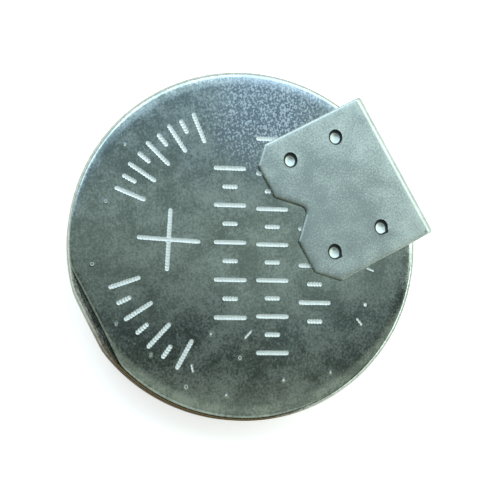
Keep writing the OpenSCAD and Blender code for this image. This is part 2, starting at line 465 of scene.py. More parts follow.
def ring_rows(skin, x, y, level, profile, tail=0.0, lean=0.0, longer=0.0):
    """Rings round one place, each at a radius and a height above level. A tail stretches the rings by a
    bell curve of the angle from the tail's direction, most at the rim and not at all in the middle, and
    flattens the ridge there. A lean is a slope, by which the print goes deeper towards one side, in step
    with its depth, and the deeper rings slide to the other side, because that is where a tilted tip
    ends. A longer print has its radius stretched by the square of the cosine of the angle."""
    a = np.linspace(0, 2 * np.pi, PRINT_AROUND, endpoint=False)
    off = (a - TAIL_TURN + np.pi) % (2 * np.pi) - np.pi
    bell = np.exp(-(off / TAIL_WIDTH) ** 2) * (tail > 0)
    rows = []
    for radius, height in profile:
        oval = longer * np.cos(a - LONG_TURN) ** 2 * (radius < profile[0][0])
        r = radius * (1 + tail * bell * min(1, radius / TAIL_FULL_R) ** 2 + oval)
        sunk = max(0, height / profile[-1][1])
        slide = LEAN_SLIDE * lean * sunk
        z = level + height * (1 - bell * (height > 0)) - lean * sunk * r * np.cos(a - LEAN_TURN)
        first = skin.add(np.stack([x - slide * math.cos(LEAN_TURN) + r * np.cos(a),
                                   y - slide * math.sin(LEAN_TURN) + r * np.sin(a), z], axis=1))
        rows.append(first + np.arange(PRINT_AROUND))
    return rows


def press_pit(skin, x, y, level, profile, slots, under=False, tail=0.0, lean=0.0, longer=0.0):
    """Adds the rings of a pit with a closed middle, and returns its rim. Each band between two rings has
    its own material slot, and the middle has the last one. Under the sheet the faces are turned over."""
    rows = ring_rows(skin, x, y, level, profile, tail, lean, longer)
    for slot, wide, narrow in zip(slots, rows[:-1], rows[1:]):
        skin.bridge(*((narrow, wide) if under else (wide, narrow)), slot=slot)
    slide = LEAN_SLIDE * lean
    middle = skin.add([[x - slide * math.cos(LEAN_TURN), y - slide * math.sin(LEAN_TURN),
                        level + profile[-1][1]]])
    fan = np.stack([rows[-1], np.roll(rows[-1], -1), np.full(len(rows[-1]), middle)], axis=1)
    skin.put(fan[:, ::-1] if under else fan, slots[-1])
    return rows[0]


print("a print's rings have", PRINT_AROUND, "points each")

# %% [markdown]
# The face has been handled. Pin-head spots are struck all over it, some as fine rings and some as
# flecks that are torn right across, and there are a few short scrapes. Each spot has its place and its
# size beside the standard one. A loose grid of points between the marks lets the face have its waves.

# %% Spots and scrapes
RINGS = [(-4.16, -6.83, 0.75), (-9.46, -3.78, 0.65), (-8.35, -6.8, 0.8), (9.7, -4.5, 0.7),
         (-10.1, 3.5, 0.75), (-10.55, -0.84, 0.6), (-7.3, 6.9, 0.65)]
FLECKS = [(5.48, -7.77, 0.8), (-5.16, -4.45, 0.45), (-6.2, -8.6, 0.5), (0.98, -10.7, 0.45),
          (-4.3, 9.8, 0.4), (-2.2, -9.6, 0.55)]
SCRAPES = [(7.02, -5.78, -50, 0.22), (4.51, -8.61, -80, 0.25), (-2.9, -5.7, 20, 0.3),
           (-7.4, -5.9, 75, 0.2)]
PIN_HEAD = [(0.26, 0.0), (0.18, 0.0), (0.15, 0.005), (0.11, 0.0), (0.08, -0.006), (0.03, -0.007)]
RING_SLOTS = [0, 0, 1, 0, 0, 0]
FLECK_SLOTS = [0, 0, 1, 1, 1, 1]
SCRAPE = [(0.14, 0.0), (0.08, 0.0), (0.06, 0.005), (0.035, -0.006), (0.02, -0.009)]
FILL_R = 11.2
SCATTER_STEP = 0.5
SCATTER_CLEAR = 0.35
dots = [(x, y, 0, 0) for x, y, _ in RINGS + FLECKS]
steps = np.arange(-11, 11, SCATTER_STEP)
scatter = np.stack(np.meshgrid(steps, steps), axis=-1).reshape(-1, 2)
off_marks = from_strokes(scatter, ticks + SCRAPES + dots + PLUS_STROKES) > SCATTER_CLEAR
scatter = scatter[(np.hypot(*scatter.T) < FILL_R - 0.2) & off_marks]
print(len(scatter), "points between the marks")

# %% [markdown]
# ## The positive can
# The can is a drawn cup, so its section runs over the edge of the face, down the wall, round the curl
# at the mouth to the lip, and back inside. The turned part starts a little inside the edge of the
# face. The face within it is the only part with marks, and is filled with triangles between them. A
# drawn face isn't quite flat: it rolls off a little before its edge, which gathers the light of the
# room into a soft bright rim, and a few microns of waviness make the reflections wander.

# %% Section of the can
ROLL_OFF_DROP = 0.03
CUT_EDGE_R = 0.03


def roll_off():
    """The face's last stretch and its rounded edge. The drop grows with the square of the way out, and
    the edge is the arc that carries on from its slope and ends upright at the wall."""
    width = CELL_R - CAN_EDGE_R - FILL_R
    t = np.linspace(0, 1, 10, endpoint=False)
    lean = math.atan(2 * ROLL_OFF_DROP / width)
    radius = CAN_EDGE_R / (1 - math.sin(lean))
    middle = (CELL_R - radius, FACE_Z - ROLL_OFF_DROP - radius * math.cos(lean))
    return np.vstack([np.stack([FILL_R + width * t, FACE_Z - ROLL_OFF_DROP * t ** 2], axis=1),
                      arc(middle, radius, 90 - math.degrees(lean), 0, 9)])


def can_section():
    """Outer and inner side of the can's section, from the face round the mouth to the inner centre. A
    straight stretch starts a little past the arc before it, so that no two points are the same."""
    r, z = CELL_R, FACE_Z
    inner_r, inner_z = r - CAN_SHEET, z - CAN_SHEET
    return (np.vstack([
        roll_off(),
        line((r, z - CAN_EDGE_R - 0.15), (r, LIP_Z + CURL_R), 16),
        arc((r - CURL_R, LIP_Z + CURL_R), CURL_R, 0, -90, 10),
        arc((LIP_R + CUT_EDGE_R, LIP_Z + CUT_EDGE_R), CUT_EDGE_R, 270, 180, 3),
        arc((LIP_R + CUT_EDGE_R, LIP_Z + CAN_SHEET - CUT_EDGE_R), CUT_EDGE_R, 180, 90, 3)]),
        np.vstack([
            arc((r - CURL_R, LIP_Z + CURL_R), CURL_R - CAN_SHEET, -90, 0, 6),
            line((inner_r, LIP_Z + CURL_R + 0.2), (inner_r, z - CAN_EDGE_R), 4),
            arc((r - CAN_EDGE_R, z - CAN_EDGE_R), CAN_EDGE_R - CAN_SHEET, 0, 90, 4),
            line((r - CAN_EDGE_R - 0.1, inner_z), (0, inner_z), 12)]))


outer, inner = can_section()
print("the can's section has", len(outer), "points outside and", len(inner), "inside")

# %% Waves of the face
WAVE_HEIGHT = 0.004
WAVE_FADE = 3.0


def waviness(x, y):
    """Height of the face's slow waves: the sum of three sines that run different ways, which die out
    towards the edge with the square of the distance to it."""
    fade = np.clip((FILL_R - np.hypot(x, y)) / WAVE_FADE, 0, 1) ** 2
    waves = (np.sin(0.9 * x + 0.5 * y) + 0.7 * np.sin(-0.6 * x + 1.3 * y + 1)
             + 0.5 * np.sin(1.9 * x + 0.4 * y + 2))
    return WAVE_HEIGHT * fade * waves


print("the waves lift the face by %.4f mm at the axis" % waviness(0, 0))

# %% Turned part of the can
AROUND = 480
DRAWN_FROM = 13
can = Skin()
outer_rows = turned_rows(can, press_dent(turn(outer, AROUND), 0))
inner_rows = turned_rows(can, press_dent(turn(inner, AROUND), CAN_SHEET))
rows = np.vstack([outer_rows, inner_rows])
for i, (row_a, row_b) in enumerate(zip(rows[:-1], rows[1:])):
    can.bridge(row_b, row_a, slot=2 if DRAWN_FROM <= i < len(outer) else 0)
centre = can.add([[0, 0, FACE_Z - CAN_SHEET]])
last = rows[-1]
can.put(np.stack([last, np.roll(last, -1), np.full(AROUND, centre)], axis=1)[:, ::-1])
print("turned part:", can.count, "points, with the drawn finish from row", DRAWN_FROM)

# %% Marked face of the can
loops = [outer_rows[0]]
for mark, profile in [(tick, GROOVE) for tick in ticks] + [(scrape, SCRAPE) for scrape in SCRAPES]:
    rim, floor = sink_groove(can, tick_outline, *mark, profile)
    fill(can, [floor], slot=lambda p: 1)
    loops.append(rim)
rim, floor = sink_groove(can, cross_outline, *PLUS)
fill(can, [floor], slot=lambda p: 1)
loops.append(rim)
for spots, slots in ((RINGS, RING_SLOTS), (FLECKS, FLECK_SLOTS)):
    for x, y, size in spots:
        spot = PIN_HEAD[:1] + [(radius * size, height * size) for radius, height in PIN_HEAD[1:]]
        loops.append(press_pit(can, x, y, FACE_Z, spot, slots))
fill(can, loops, np.column_stack([scatter, np.full(len(scatter), FACE_Z)]))
for block in can.blocks:
    on_face = (block[:, 2] > FACE_Z - CAN_SHEET / 2) & (np.hypot(block[:, 0], block[:, 1]) < FILL_R)
    block[:, 2] += np.where(on_face, waviness(block[:, 0], block[:, 1]), 0)
can_piece = can.make("can_shell", "positive_can")

# %% [markdown]
# ## The terminal tab
# The tab is stamped from nickel-plated strip and folded down once. It is made here in the same order.
# Its outline is drawn flat, with a rounded edge on both sides of the sheet. The punch ran closer on
# one side, and has burnished the edge there. The photograph's tab measures 0.3 mm wider than the solid
# one and a trace longer, so this one is stretched by that much. The flat shape is filled with
# triangles, the four weld pits are pressed in as rings, and only then is every point carried round the
# bend. Rows of points lie close together where the bend will be, and its triangles get the burnished
# finish of the pits' floors, because the tool that folds the strip burnishes it too.

# %% Tab sizes
TAB_SHEET = 0.2
BEND_R = 0.4
BURNISHED = 0.1
LEFT_CUT = 1.15
RIGHT_CUT = 1.4
NOTCH_W = 3.52
NOTCH_R = 0.5
NOTCH_SIDE = 0.1
CORNER_R = 0.19
WIDER, LONGER = 0.15, 0.05
HALF_W = tab_high[1] + WIDER
FREE_X, LEG_X = tab_low[0] - LONGER, tab_high[0]
PLATE_TOP, LEG_END = tab_high[2], tab_low[2]
BEND_FROM = LEG_X - BEND_R - TAB_SHEET
BEND_TO = BEND_FROM + math.pi / 2 * (BEND_R + TAB_SHEET / 2)
FLAT_END = BEND_TO + PLATE_TOP - BEND_R - TAB_SHEET - LEG_END
BEND_ROWS = 12
print("the flat blank is %.2f by %.2f mm" % (FLAT_END - FREE_X, 2 * HALF_W))

# %% Outline of the blank
OUTLINE_STEP = 0.07


def rounded_outline(corners):
    """Closed outline through corners of x, y and radius. Each corner becomes an arc that touches both
    of its sides, and the straight stretches are cut into equal steps."""
    arcs = []
    for i, (x, y, radius) in enumerate(corners):
        corner = np.array([x, y])
        before = np.array(corners[i - 1][:2]) - corner
        after = np.array(corners[(i + 1) % len(corners)][:2]) - corner
        before, after = before / np.hypot(*before), after / np.hypot(*after)
        half = 0.5 * math.acos(np.clip(before @ after, -1, 1))
        middle = corner + (before + after) / np.hypot(*(before + after)) * radius / math.sin(half)
        first = corner + before * radius / math.tan(half) - middle
        last = corner + after * radius / math.tan(half) - middle
        start = math.atan2(first[1], first[0])
        sweep = (math.atan2(last[1], last[0]) - start + math.pi) % (2 * math.pi) - math.pi
        angle = start + sweep * np.linspace(0, 1, 3 + int(abs(sweep) * radius / OUTLINE_STEP))
        arcs.append(middle + radius * np.stack([np.cos(angle), np.sin(angle)], axis=1))
    rows = []
    for here, following in zip(arcs, arcs[1:] + arcs[:1]):
        steps = max(1, int(np.hypot(*(following[0] - here[-1])) / OUTLINE_STEP))
        rows += [here[:-1], line(here[-1], following[0], steps)]
    return np.vstack(rows)


def inset(outline, distance):
    """Outline moved inwards: each point goes along the normal of the line through its neighbours."""
    along = np.roll(outline, -1, axis=0) - np.roll(outline, 1, axis=0)
    along /= np.hypot(*along.T)[:, None]
    return outline + distance * np.stack([-along[:, 1], along[:, 0]], axis=1)


blank = rounded_outline([
    (FREE_X, HALF_W - LEFT_CUT, CORNER_R), (FREE_X, NOTCH_SIDE + NOTCH_W / 2, CORNER_R),
    (FREE_X + NOTCH_W / 2, NOTCH_SIDE, NOTCH_R), (FREE_X, NOTCH_SIDE - NOTCH_W / 2, CORNER_R),
    (FREE_X, RIGHT_CUT - HALF_W, CORNER_R), (FREE_X + RIGHT_CUT, -HALF_W, CORNER_R),
    (FLAT_END, -HALF_W, CORNER_R), (FLAT_END, HALF_W, CORNER_R), (FREE_X + LEFT_CUT, HALF_W, CORNER_R)])
print("the outline has", len(blank), "points")

# %% [markdown]
# Each weld pit is the print of an electrode's tip: a shallow bowl with a low ridge pushed up round it.
# Under the sheet the same push makes a bump, flattened where it is welded to the can. The tips stood
# a little askew, so the pits are deeper on one side, and two of them have a small drawn-out tail.

# %% Weld pits
PIT_PITCH = 7.16
PIT_PAIRS = [(FREE_X + 2.1, -2.5), (FREE_X + 5.9, -1.5)]
PIT_ACROSS = 0.1
PIT_TOP = [(0.66, 0), (0.57, 0), (0.53, 0.005), (0.5, 0.003), (0.485, -0.02), (0.465, -0.06),
           (0.43, -0.09), (0.385, -0.1), (0.35, -0.106), (0.27, -0.122), (0.18, -0.136), (0.09, -0.143)]
# slot 2 gives the walls of the pits a near-black painted shade
PIT_SLOTS = [0, 0, 0, 2, 2, 2, 2, 2, 1, 1, 1, 1]
PIT_TAIL = 0.24
PIT_LEAN = 0.16
PIT_LONGER = 0.13
PIT_UNDER = [(0.66, 0), (0.58, 0), (0.55, -0.004), (0.47, -0.044), (0.42, -0.049), (0.2, -0.049)]
pits = []
for pair_x, turn_deg in PIT_PAIRS:
    for side in (-1, 1):
        out = side * PIT_PITCH / 2
        pits.append((pair_x - out * math.sin(math.radians(turn_deg)),
                     PIT_ACROSS + out * math.cos(math.radians(turn_deg)), side))
print("pits at", [(round(x, 2), round(y, 2)) for x, y, _ in pits])


def from_pits(points):
    """Distance from each point to the middle of the nearest pit."""
    return np.min([np.hypot(points[:, 0] - x, points[:, 1] - y) for x, y, _ in pits], axis=0)


# %% Points inside the blank
GRID = 0.45


def inner_points():
    """Points over the blank, a little in from its edges: a plain grid over the plate and the leg, and
    close rows over the bend."""
    across = np.arange(-HALF_W + 0.25, HALF_W - 0.2, GRID / 2)
    bend = np.linspace(BEND_FROM, BEND_TO, BEND_ROWS + 1)
    along = np.concatenate([np.arange(FREE_X + 0.2, BEND_FROM - 0.2, GRID), bend,
                            np.arange(BEND_TO + 0.3, FLAT_END - 0.2, GRID)])
    return np.stack(np.meshgrid(along, across, indexing="ij"), axis=-1).reshape(-1, 2)


print(inside(inner_points(), blank).sum(), "points lie inside the blank")

# %% The bend
def bend_down(points):
    """Carries flat points round the bend. Past its start, the place along the sheet becomes an angle at
    the bend's centre; past its end, it becomes depth down the leg."""
    x, y, z = points.T
    depth = PLATE_TOP - z
    angle = np.clip((x - BEND_FROM) / (BEND_TO - BEND_FROM), 0, 1) * np.pi / 2
    radius = BEND_R + TAB_SHEET - depth
    down = np.clip(x - BEND_TO, 0, None)
    turned_x = BEND_FROM + radius * np.sin(angle)
    turned_z = PLATE_TOP - BEND_R - TAB_SHEET + radius * np.cos(angle) - down
    flat = x < BEND_FROM
    return np.stack([np.where(flat, x, turned_x), y, np.where(flat, z, turned_z)], axis=1)


leg_tip = bend_down(np.array([[FLAT_END, 0, PLATE_TOP]]))[0]
print("the leg's end comes to x %.2f and z %.2f mm" % (leg_tip[0], leg_tip[2]))

# %% Edge of the tab
EDGE_TOP = [(0.17, 0.0), (0.13, 0.006), (0.09, 0.02), (0.045, 0.042), (0.012, 0.07), (0.0, 0.1)]
EDGE_UNDER = [(0.0, 0.16), (0.004, 0.185), (0.018, 0.197), (0.04, 0.2), (0.13, 0.2)]
TIGHT_SIDE = (0.45, 0.88)
TIGHT_FROM = 0.1
tab = Skin()
edge_rows = []
for distance, depth in EDGE_TOP + EDGE_UNDER:
    ring = inset(blank, distance)
    first = tab.add(np.column_stack([ring, np.full(len(ring), PLATE_TOP - depth)]))
    edge_rows.append(first + np.arange(len(ring)))
along = np.roll(blank, -1, axis=0) - blank
tight = along[:, 1] * TIGHT_SIDE[0] - along[:, 0] * TIGHT_SIDE[1] > TIGHT_FROM * np.hypot(*along.T)
for i, (upper, lower) in enumerate(zip(edge_rows[:-1], edge_rows[1:])):
    tab.bridge(lower, upper, slot=tight.astype(int) if i < len(EDGE_TOP) - 1 else 0)
print(tight.sum(), "of", len(blank), "stretches of the edge are burnished")

# %% Faces of the tab, and the bend
SEED_MARGIN = 0.12
PIT_CLEAR = 0.85
seeds = inner_points()
seeds = seeds[inside(seeds, inset(blank, EDGE_TOP[0][0]), SEED_MARGIN)]
seeds = seeds[from_pits(seeds) > PIT_CLEAR]


def on_bend(p):
    """The slot of each place in the flat: 1, which is burnished, where the bend will be, and else 0."""
    return ((p[:, 0] > BEND_FROM - BURNISHED) & (p[:, 0] < BEND_TO)).astype(int)


for level, profile, edge, under in ((PLATE_TOP, PIT_TOP, edge_rows[0], False),
                                    (PLATE_TOP - TAB_SHEET, PIT_UNDER, edge_rows[-1], True)):
    loops = [edge]
    for x, y, side in pits:
        if under:
            loops.append(press_pit(tab, x, y, level, profile, [0] * len(profile), under=True))
        else:
            tail = PIT_TAIL if side < 0 else 0
            loops.append(press_pit(tab, x, y, level, profile, PIT_SLOTS, False, tail, PIT_LEAN, PIT_LONGER))
    fill(tab, loops, np.column_stack([seeds, np.full(len(seeds), level)]), slot=on_bend, flip=under)
tab.blocks = [bend_down(block) for block in tab.blocks]
tab_piece = tab.make("folded_tab", "terminal_tab")

# %% [markdown]
# ## Gasket and negative cap
# These two close the cell from below. The gasket is moulded, the cap is drawn from sheet, and both are
# sections turned round the axis. The gasket's section is a closed loop that fits between the can and
# the cap, and the dent has pushed it in with the can. The cap's section runs up its outer side, over
# the cut edge of its skirt, and back to the middle along its inner side.

# %% Gasket
AROUND_GASKET = 360
CHAMBER_R = SKIRT_R - CAP_SHEET - 0.35
GASKET_IN = LIP_R - 0.45
GASKET_Z = LIP_Z + CAN_SHEET - 0.12
BEAD_R = 0.12
CAN_IN_R = CELL_R - CAN_SHEET
FACE_IN_Z = FACE_Z - CAN_SHEET
EDGE_IN_R = CAN_EDGE_R - CAN_SHEET
FOOT_R = 0.05
FOOT_Z = SKIRT_TOP - 0.5

gasket_section = np.vstack([
    arc((GASKET_IN + BEAD_R, GASKET_Z + BEAD_R), BEAD_R, 180, 270, 6),
    arc((LIP_R - FOOT_R, GASKET_Z + FOOT_R), FOOT_R, 270, 360, 3),
    [(LIP_R, LIP_Z + CAN_SHEET)],
    arc((CELL_R - CURL_R, LIP_Z + CURL_R), CURL_R - CAN_SHEET, -90, 0, 7),
    line((CAN_IN_R, LIP_Z + CURL_R + 0.15), (CAN_IN_R, FACE_Z - CAN_EDGE_R), 10),
    arc((CAN_IN_R - EDGE_IN_R, FACE_IN_Z - EDGE_IN_R), EDGE_IN_R, 0, 90, 4),
    line((CAN_IN_R - EDGE_IN_R - 0.1, FACE_IN_Z), (CHAMBER_R, FACE_IN_Z), 5),
    line((CHAMBER_R, FACE_IN_Z), (CHAMBER_R, FOOT_Z), 4),
    [(CHAMBER_R, FOOT_Z), (SKIRT_R - CAP_SHEET, FOOT_Z),
     (SKIRT_R - CAP_SHEET, SKIRT_TOP), (SKIRT_R, SKIRT_TOP)],
    arc((SKIRT_R - SKIRT_EDGE_R, SHOULDER_Z + SKIRT_EDGE_R), SKIRT_EDGE_R, 0, -90, 7),
    [(GASKET_IN, SHOULDER_Z)]])
gasket = Skin()
rows = turned_rows(gasket, press_dent(turn(gasket_section, AROUND_GASKET), CAN_SHEET))
for row_a, row_b in zip(rows, np.roll(rows, -1, axis=0)):
    gasket.bridge(row_a, row_b)
gasket_piece = gasket.make("moulded_gasket", "gasket", sharp=50)

# %% Negative cap
AROUND_CAP = 300
STEP_OUT_R = CAP_STEP_R + CAP_SHEET
CAP_MIDDLE_R = 0.8
CAP_CUT_R = 0.04


def cap_section():
    """The cap's outer side from the middle of its face to its skirt, and its inner side back again."""
    return np.vstack([
        line((CAP_MIDDLE_R, 0), (CAP_FACE_R - CAP_EDGE_R, 0), 12),
        arc((CAP_FACE_R - CAP_EDGE_R, CAP_EDGE_R), CAP_EDGE_R, -90, 0, 8),
        arc((CAP_FACE_R + CAP_STEP_R, SHOULDER_Z - CAP_STEP_R), CAP_STEP_R, 180, 90, 5),
        arc((SKIRT_R - SKIRT_EDGE_R, SHOULDER_Z + SKIRT_EDGE_R), SKIRT_EDGE_R, -90, 0, 8),
        arc((SKIRT_R - CAP_CUT_R, SKIRT_TOP - CAP_CUT_R), CAP_CUT_R, 0, 90, 3),
        arc((SKIRT_R - CAP_SHEET + CAP_CUT_R, SKIRT_TOP - CAP_CUT_R), CAP_CUT_R, 90, 180, 3),
        arc((SKIRT_R - SKIRT_EDGE_R, SHOULDER_Z + SKIRT_EDGE_R), SKIRT_EDGE_R - CAP_SHEET, 0, -90, 5),
        arc((CAP_FACE_R + CAP_STEP_R, SHOULDER_Z - CAP_STEP_R), STEP_OUT_R, 90, 180, 6),
        arc((CAP_FACE_R - CAP_EDGE_R, CAP_EDGE_R), CAP_EDGE_R - CAP_SHEET, 0, -90, 5),
        line((CAP_FACE_R - CAP_EDGE_R - 0.1, CAP_SHEET), (0, CAP_SHEET), 10)])


cap = Skin()
rows = turned_rows(cap, turn(cap_section(), AROUND_CAP))
for row_a, row_b in zip(rows[:-1], rows[1:]):
    cap.bridge(row_a, row_b)
low_middle, high_middle = cap.add([[0, 0, 0]]), cap.add([[0, 0, CAP_SHEET]])
cap.put(np.stack([rows[0], np.roll(rows[0], -1), np.full(AROUND_CAP, low_middle)], axis=1)[:, ::-1])
cap.put(np.stack([rows[-1], np.roll(rows[-1], -1), np.full(AROUND_CAP, high_middle)], axis=1))
cap_piece = cap.make("drawn_cap", "negative_cap")

# %% [markdown]
# ## Materials
# Every finish is a Principled shader fed by noise. The patterns are worked out in millimetres: a noise
# scale is the number of its waves in a metre, so it is 1000 divided by the size wanted. Colours are
# written as they look on a screen, and one function turns them into the linear values that light needs.
# One more function adds a node of any kind. Three kinds do most of the work. Map Range spreads a part
# of a field over another range, Math adds fields up, and Mix goes from a dark colour to a light one.

# %% Material helpers
SMOOTH = {"interpolation_type": "SMOOTHSTEP"}
COLOURS = {"data_type": "RGBA"}
# the numbers of a Mix node's sockets for colours, and of its output
FACTOR, DARK, LIGHT, MIXED = 0, 6, 7, 2


def linear(hex_colour):
    """Linear colour from a hex one: each part over 255, then the sRGB curve undone."""
    parts = [int(hex_colour[i:i + 2], 16) / 255 for i in (1, 3, 5)]
    return [p / 12.92 if p <= 0.04045 else ((p + 0.055) / 1.055) ** 2.4 for p in parts] + [1.0]


def add(tree, kind, inputs=(), out=0, **settings):
    """Adds a node, sets its properties, and gives its inputs values or links, by name or in their order.
    A hex colour is made linear. Returns the output asked for, or the node if it has none."""
    node = tree.nodes.new(kind)
    for name, value in settings.items():
        setattr(node, name, value)
    for name, value in inputs.items() if isinstance(inputs, dict) else enumerate(inputs):
        if isinstance(value, bpy.types.NodeSocket):
            tree.links.new(value, node.inputs[name])
        else:
            node.inputs[name].default_value = linear(value) if isinstance(value, str) else value
    return node.outputs[out] if len(node.outputs) else node


def per_metre(size_mm):
    """Noise scale that gives a pattern of about this size."""
    return 1 / (size_mm * MM)


def new_material(name):
    """An empty node material, its tree, and the place on the piece as object coordinates."""
    material = bpy.data.materials.new(name)
    material.use_nodes = True
    tree = material.node_tree
    tree.nodes.clear()
    return material, tree, add(tree, "ShaderNodeTexCoord", out="Object")


print("mid grey #808080 is %.3f in linear light" % linear("#808080")[0])

# %% Plain finishes
def plain_finish(name, dark, light, size_mm, rough, depth_mm, metal=0.0, milky=0.0):
    """A finish of one mottled colour and one bump, for moulded, felted, pressed or soft surfaces."""
    material, tree, place = new_material(name)
    field = add(tree, "ShaderNodeTexNoise", {
        "Vector": place, "Scale": per_metre(size_mm), "Detail": 4.0, "Roughness": 0.6})
    mottle = add(tree, "ShaderNodeMapRange", (field, 0.35, 0.65, 0, 1), **SMOOTH)
    colour = add(tree, "ShaderNodeMix", {FACTOR: mottle, DARK: dark, LIGHT: light}, MIXED, **COLOURS)
    bump = add(tree, "ShaderNodeBump", {"Height": field, "Distance": depth_mm * MM})
    shader = add(tree, "ShaderNodeBsdfPrincipled", {
        "Base Color": colour, "Metallic": metal, "Roughness": rough, "Normal": bump,
        "Subsurface Weight": milky, "Subsurface Radius": (0.4 * MM, 0.4 * MM, 0.3 * MM),
        "Subsurface Scale": 1.0})
    add(tree, "ShaderNodeOutputMaterial", {"Surface": shader})
    return material


# painted shade: a near-black finish for the walls of the weld pits
pit_wall_shade = plain_finish("nickel_with_painted_shade", "#1b2221", "#2e3635", 0.2, 0.55, 0.004, metal=0.3)
print(pit_wall_shade.name, "has", len(pit_wall_shade.node_tree.nodes), "nodes")

# %% [markdown]
# The can's strip is bright rolled stainless steel. It is nearly a mirror, so most of what is seen on
# it is the room. Rolling leaves faint lines along one direction, and handling leaves haze, small
# nicks and one rubbed patch. Each of these spreads a little light, so the patch sparkles wherever the
# mirror is close to showing a window. The patch's blue tinge is painted into its colour, a painted
# reflection of the window. The real grain and lines are a few hundredths of a millimetre wide, too
# fine for the picture, so they are drawn several times as coarse.

# %% Bright rolled stainless steel
ROLLING_TURN = math.radians(63)
GRAIN_W, LINE_W, NICK_W = 0.16, 0.13, 0.34
LINE_STRETCH = 2.2
# middle of the rubbed patch and of its painted bluish reflection
RUB_AND_REFLECTION_AT = (5.9 * MM, 7.5 * MM, FACE_Z * MM)
RUB_HAZE = 0.3
FINE = {"Detail": 2.0, "Roughness": 0.6}


def rolled_steel(name, dark, light, shine, haze, grain_mm, cloud_mm=2.4, rub_and_reflection_colour=None, painted_reflection=None):
    """Metal with haze clouds, fine grain and rolling lines, given its colours and roughness range, and
    the colour of the rubbed patch on its face, a painted bluish reflection, and of the painted brown
    reflection and shade on one side of its wall if it has one."""
    material, tree, place = new_material(name)
    turned = add(tree, "ShaderNodeMapping", {
        "Vector": place, "Rotation": (0, 0, ROLLING_TURN), "Scale": (LINE_STRETCH, 1.0, 1.0)},
        vector_type="TEXTURE")
    clouds = add(tree, "ShaderNodeTexNoise", {
        "Vector": place, "Scale": per_metre(cloud_mm), "Detail": 6.0, "Roughness": 0.66, "Distortion": 0.3})
    grain = add(tree, "ShaderNodeTexNoise", {"Vector": place, "Scale": per_metre(GRAIN_W), **FINE})
    lines = add(tree, "ShaderNodeTexNoise", {"Vector": turned, "Scale": per_metre(LINE_W), **FINE})
    nicks = add(tree, "ShaderNodeTexNoise", {
        "Vector": place, "Scale": per_metre(NICK_W), "Detail": 1.0, "Roughness": 0.55})
    nicks = add(tree, "ShaderNodeMapRange", (nicks, 0.78, 0.84, 0, 1), **SMOOTH)
    mottle = add(tree, "ShaderNodeMath", (grain, 0.6, clouds), operation="MULTIPLY_ADD")
    mottle = add(tree, "ShaderNodeMath", (lines, 0.3, mottle), operation="MULTIPLY_ADD")
    rough = add(tree, "ShaderNodeMapRange", (mottle, 0.7, 1.2, shine, haze), **SMOOTH)
    bump = add(tree, "ShaderNodeBump", {"Height": grain, "Distance": grain_mm * MM})
    bump = add(tree, "ShaderNodeBump", {"Height": lines, "Distance": grain_mm * 0.25 * MM, "Normal": bump})
    bump = add(tree, "ShaderNodeBump", {"Height": nicks, "Distance": grain_mm * 2 * MM, "Normal": bump})
    tone = add(tree, "ShaderNodeMapRange", (mottle, 0.75, 1.15, 0, 1), **SMOOTH)
    colour = add(tree, "ShaderNodeMix", {FACTOR: tone, DARK: dark, LIGHT: light}, MIXED, **COLOURS)
    # painted reflection: the rubbed patch's colour is a bluish tint that stands in for the window mirrored
    # there
    if rub_and_reflection_colour:
        rub_and_reflection_mask, sparks = rub_and_reflection(tree, place, clouds, grain, lines)
        rough = add(tree, "ShaderNodeMath", (sparks, RUB_HAZE, rough), operation="MULTIPLY_ADD")
        colour = add(tree, "ShaderNodeMix", {FACTOR: rub_and_reflection_mask, DARK: colour, LIGHT: rub_and_reflection_colour}, MIXED, **COLOURS)
    # painted reflection and shade: on the wall, a brown colour is mixed into the base colour
    if painted_reflection:
        reflection_amount = painted_reflection_mask(tree, place)
        colour = add(tree, "ShaderNodeMix", {FACTOR: reflection_amount, DARK: colour, LIGHT: painted_reflection}, MIXED, **COLOURS)
    shader = add(tree, "ShaderNodeBsdfPrincipled", {
        "Base Color": colour, "Metallic": 1.0, "Roughness": rough, "Normal": bump,
        "Specular Tint": colour if painted_reflection else (1, 1, 1, 1)})
    add(tree, "ShaderNodeOutputMaterial", {"Surface": shader})
    return material


def rub_and_reflection(tree, place, clouds, grain, lines):
    """How much a place belongs to the rubbed patch with its painted bluish reflection, and how much of it
    is a sparkling scratch there. The patch is all within 4.5 mm of its middle and none past 9 mm, with an
    edge that follows the haze."""
    away = add(tree, "ShaderNodeVectorMath", (place, RUB_AND_REFLECTION_AT), "Value", operation="DISTANCE")
    away = add(tree, "ShaderNodeMath", (clouds, 6 * MM, away), operation="MULTIPLY_ADD")
    rub_and_reflection_mask = add(tree, "ShaderNodeMapRange", (away, 4.5 * MM, 9 * MM, 1, 0), **SMOOTH)
    scratches = add(tree, "ShaderNodeMath", (lines, 0.7, grain), operation="MULTIPLY_ADD")
    scratches = add(tree, "ShaderNodeMapRange", (scratches, 0.81, 1.0, 0, 1), **SMOOTH)
    return rub_and_reflection_mask, add(tree, "ShaderNodeMath", (rub_and_reflection_mask, scratches), operation="MULTIPLY")


# the last colour is the rubbed patch's painted bluish reflection
can_steel = rolled_steel("bright_rolled_stainless_steel", "#99a6a0", "#d0dcd6", 0.09, 0.16, 0.0017,
                         rub_and_reflection_colour="#b3c1c8")
cap_steel = rolled_steel("satin_rolled_stainless_steel", "#b0b8b7", "#c6cdcc", 0.26, 0.38, 0.004)
print(can_steel.name, "has", len(can_steel.node_tree.nodes), "nodes")

# %% [markdown]
# The edge and the wall were stretched as the can was drawn, so their finish is coarser. On one side
# of them, below the rounded edge, a brown colour is painted in: a painted reflection of a dark surface
# beside the cell, with painted shade. The dull wall keeps its colour where it is seen almost edge-on, which
# clean metal doesn't.

# %% Drawn wall
# where the painted brown reflection and shade lies, and the heights over which it starts below the edge
PAINTED_REFLECTION_AT = (-9.1 * MM, -8.2 * MM, 2 * MM)
REFLECTION_FROM, REFLECTION_TO = (FACE_Z - 0.06) * MM, (FACE_Z - 0.13) * MM


